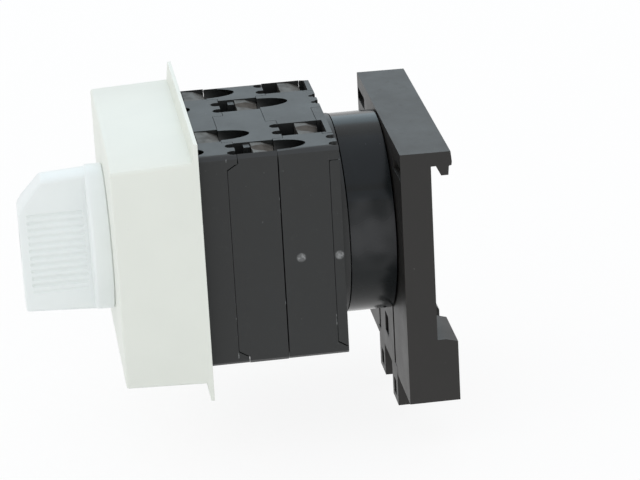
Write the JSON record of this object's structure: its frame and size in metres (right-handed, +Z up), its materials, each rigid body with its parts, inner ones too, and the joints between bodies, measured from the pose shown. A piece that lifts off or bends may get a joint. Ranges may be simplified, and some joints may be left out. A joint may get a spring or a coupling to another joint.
{
  "type": "rotary cam switch",
  "caption": "Rotary cam switch with a white module-width front and bar knob, a stack of dark contact chambers with terminals, and a sprung rail adapter.",
  "frame": {"origin": "on the switch axis, in the plane of the rail seat at the back of the adapter plate", "axes": "+Z up, +X along the rail to the right as seen from the knob, +Y from the knob towards the rail; the knob faces -Y"},
  "size_m": [0.0524, 0.0817, 0.0642],
  "materials": {
    "knob": "satin moulding, cool white",
    "knob_screw": "zinc plated",
    "drive_shaft": "zinc plated",
    "detent_wheel": "natural moulding, pale",
    "cam_rear": "natural moulding, pale",
    "cam_middle": "natural moulding, pale",
    "cam_front": "natural moulding, pale",
    "front_cover": "fine satin moulding, greenish white",
    "bearing_plate": "natural moulding, pale",
    "detent_housing": "natural moulding, pale",
    "detent_slider_right": "natural moulding, pale",
    "detent_slider_left": "natural moulding, pale",
    "detent_spring_right": "zinc plated",
    "detent_spring_left": "zinc plated",
    "chamber_rear": "satin moulding, charcoal",
    "chamber_middle": "satin moulding, charcoal",
    "chamber_front": "satin moulding, charcoal",
    "end_plate": "satin moulding, charcoal",
    "spacer": "glossy moulding, black",
    "rail_base": "matt moulding, charcoal",
    "rail_latch": "matt moulding, charcoal",
    "latch_spring": "zinc plated",
    "tie_screw_top": "zinc plated",
    "tie_screw_bottom": "zinc plated",
    "adapter_screw_right": "zinc plated",
    "adapter_screw_left": "zinc plated",
    "terminal_rear_top_right": "zinc plated",
    "terminal_rear_top_left": "zinc plated",
    "terminal_rear_bottom_right": "zinc plated",
    "terminal_rear_bottom_left": "zinc plated",
    "terminal_middle_top_right": "zinc plated",
    "terminal_middle_top_left": "zinc plated",
    "terminal_middle_bottom_right": "zinc plated",
    "terminal_middle_bottom_left": "zinc plated",
    "terminal_front_top_right": "zinc plated",
    "terminal_front_top_left": "zinc plated",
    "terminal_front_bottom_right": "zinc plated",
    "terminal_front_bottom_left": "zinc plated",
    "plunger_rear_right": "natural moulding, pale",
    "bridge_rear_right": "plain stamped brass",
    "contact_spring_rear_right": "zinc plated",
    "plunger_rear_left": "natural moulding, pale",
    "bridge_rear_left": "plain stamped brass",
    "contact_spring_rear_left": "zinc plated",
    "plunger_middle_right": "natural moulding, pale",
    "bridge_middle_right": "plain stamped brass",
    "contact_spring_middle_right": "zinc plated",
    "plunger_middle_left": "natural moulding, pale",
    "bridge_middle_left": "plain stamped brass",
    "contact_spring_middle_left": "zinc plated",
    "plunger_front_right": "natural moulding, pale",
    "bridge_front_right": "plain stamped brass",
    "contact_spring_front_right": "zinc plated",
    "plunger_front_left": "natural moulding, pale",
    "bridge_front_left": "plain stamped brass",
    "contact_spring_front_left": "zinc plated"
  },
  "bodies": {
    "frame": {"front_cover": "front_cover", "bearing_plate": "bearing_plate", "detent_housing": "detent_housing", "detent_slider_right": "detent_slider_right", "detent_slider_left": "detent_slider_left", "detent_spring_right": "detent_spring_right", "detent_spring_left": "detent_spring_left", "chamber_rear": "chamber_rear", "chamber_middle": "chamber_middle", "chamber_front": "chamber_front", "end_plate": "end_plate", "spacer": "spacer", "rail_base": "rail_base", "latch_spring": "latch_spring", "tie_screw_top": "tie_screw_top", "tie_screw_bottom": "tie_screw_bottom", "adapter_screw_right": "adapter_screw_right", "adapter_screw_left": "adapter_screw_left", "terminal_rear_top_right": "terminal_rear_top_right", "terminal_rear_top_left": "terminal_rear_top_left", "terminal_rear_bottom_right": "terminal_rear_bottom_right", "terminal_rear_bottom_left": "terminal_rear_bottom_left", "terminal_middle_top_right": "terminal_middle_top_right", "terminal_middle_top_left": "terminal_middle_top_left", "terminal_middle_bottom_right": "terminal_middle_bottom_right", "terminal_middle_bottom_left": "terminal_middle_bottom_left", "terminal_front_top_right": "terminal_front_top_right", "terminal_front_top_left": "terminal_front_top_left", "terminal_front_bottom_right": "terminal_front_bottom_right", "terminal_front_bottom_left": "terminal_front_bottom_left", "contact_spring_rear_right": "contact_spring_rear_right", "contact_spring_rear_left": "contact_spring_rear_left", "contact_spring_middle_right": "contact_spring_middle_right", "contact_spring_middle_left": "contact_spring_middle_left", "contact_spring_front_right": "contact_spring_front_right", "contact_spring_front_left": "contact_spring_front_left"},
    "rotor": {"knob": "knob", "knob_screw": "knob_screw", "drive_shaft": "drive_shaft", "detent_wheel": "detent_wheel", "cam_rear": "cam_rear", "cam_middle": "cam_middle", "cam_front": "cam_front"},
    "latch": {"rail_latch": "rail_latch"},
    "contact_rear_right": {"plunger_rear_right": "plunger_rear_right", "bridge_rear_right": "bridge_rear_right"},
    "contact_rear_left": {"plunger_rear_left": "plunger_rear_left", "bridge_rear_left": "bridge_rear_left"},
    "contact_middle_right": {"plunger_middle_right": "plunger_middle_right", "bridge_middle_right": "bridge_middle_right"},
    "contact_middle_left": {"plunger_middle_left": "plunger_middle_left", "bridge_middle_left": "bridge_middle_left"},
    "contact_front_right": {"plunger_front_right": "plunger_front_right", "bridge_front_right": "bridge_front_right"},
    "contact_front_left": {"plunger_front_left": "plunger_front_left", "bridge_front_left": "bridge_front_left"}
  },
  "joints": [
    {"name": "knob_turn", "type": "hinge", "parent": "frame", "child": "rotor", "pos_m": [0, 0, 0], "axis": [0, 1, 0], "range_deg": [0, 90]},
    {"name": "contact_rear_right_slide", "type": "slide", "parent": "frame", "child": "contact_rear_right", "axis": [-1, 0, 0], "range_m": [0, 0.0015], "deforming": ["contact_spring_rear_right"]},
    {"name": "contact_rear_left_slide", "type": "slide", "parent": "frame", "child": "contact_rear_left", "axis": [1, 0, 0], "range_m": [0, 0.0015], "deforming": ["contact_spring_rear_left"]},
    {"name": "contact_middle_right_slide", "type": "slide", "parent": "frame", "child": "contact_middle_right", "axis": [-1, 0, 0], "range_m": [0, 0.0015], "deforming": ["contact_spring_middle_right"]},
    {"name": "contact_middle_left_slide", "type": "slide", "parent": "frame", "child": "contact_middle_left", "axis": [1, 0, 0], "range_m": [0, 0.0015], "deforming": ["contact_spring_middle_left"]},
    {"name": "contact_front_right_slide", "type": "slide", "parent": "frame", "child": "contact_front_right", "axis": [-1, 0, 0], "range_m": [0, 0.0015], "deforming": ["contact_spring_front_right"]},
    {"name": "contact_front_left_slide", "type": "slide", "parent": "frame", "child": "contact_front_left", "axis": [1, 0, 0], "range_m": [0, 0.0015], "deforming": ["contact_spring_front_left"]},
    {"name": "latch_slide", "type": "slide", "parent": "frame", "child": "latch", "axis": [0, 0, -1], "range_m": [0, 0.0025], "stiffness_N_per_m": 800, "springref_m": -0.002, "deforming": ["latch_spring"]}
  ],
  "couplings": [
    {"joint": "contact_rear_right_slide", "follows": "knob_turn", "m_per_rad": 0.00095492},
    {"joint": "contact_rear_left_slide", "follows": "knob_turn", "m_per_rad": 0.00095492},
    {"joint": "contact_middle_right_slide", "follows": "knob_turn", "m_per_rad": 0.00095492},
    {"joint": "contact_middle_left_slide", "follows": "knob_turn", "m_per_rad": 0.00095492},
    {"joint": "contact_front_right_slide", "follows": "knob_turn", "m_per_rad": 0.00095492},
    {"joint": "contact_front_left_slide", "follows": "knob_turn", "m_per_rad": 0.00095492}
  ]
}
